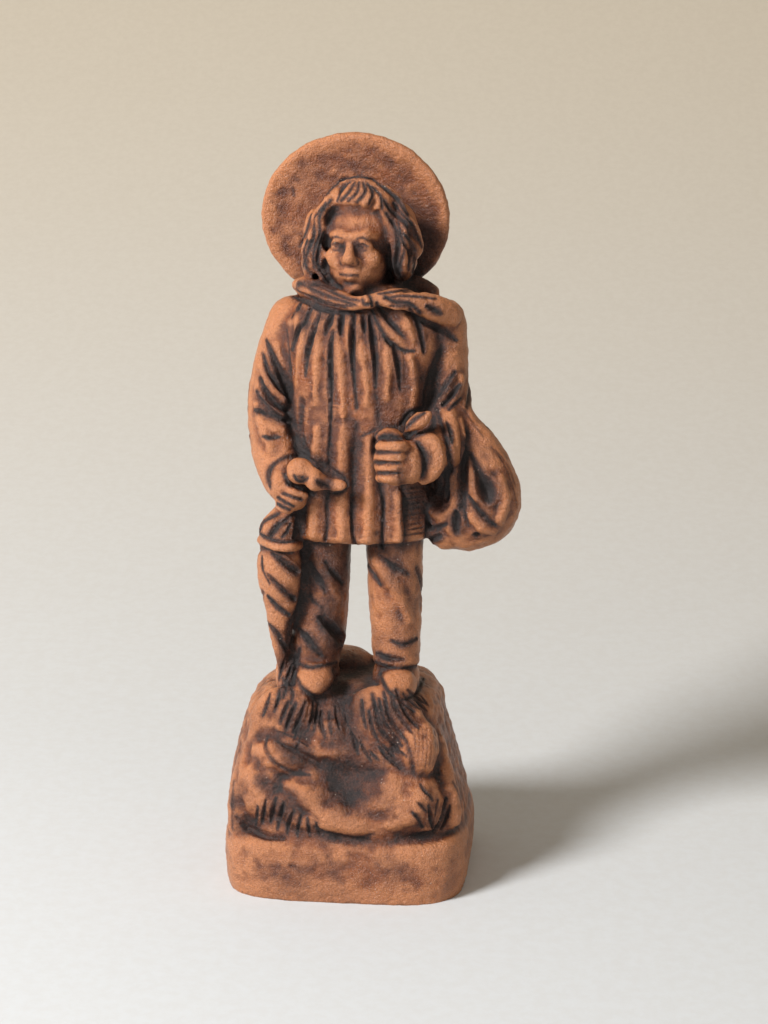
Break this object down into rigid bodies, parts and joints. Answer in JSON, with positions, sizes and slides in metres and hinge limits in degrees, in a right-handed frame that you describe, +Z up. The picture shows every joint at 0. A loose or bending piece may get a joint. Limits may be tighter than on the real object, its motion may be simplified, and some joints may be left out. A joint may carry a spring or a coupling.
{
  "type": "terracotta figurine",
  "caption": "Standing countryman in a wide hat and smock, with a rolled umbrella and a sack, cast in one with a rocky plinth.",
  "frame": {"origin": "middle of the flat underside of the plinth, on the surface that it stands on", "axes": "+Z up through the hat, the figure faces -Y, +X is towards the sack"},
  "size_m": [0.0801, 0.0578, 0.2015],
  "materials": {
    "terracotta": "fired clay with a dark wash in the recesses and a soft waxed sheen"
  },
  "bodies": {
    "root": {"figurine": "terracotta"}
  },
  "joints": []
}
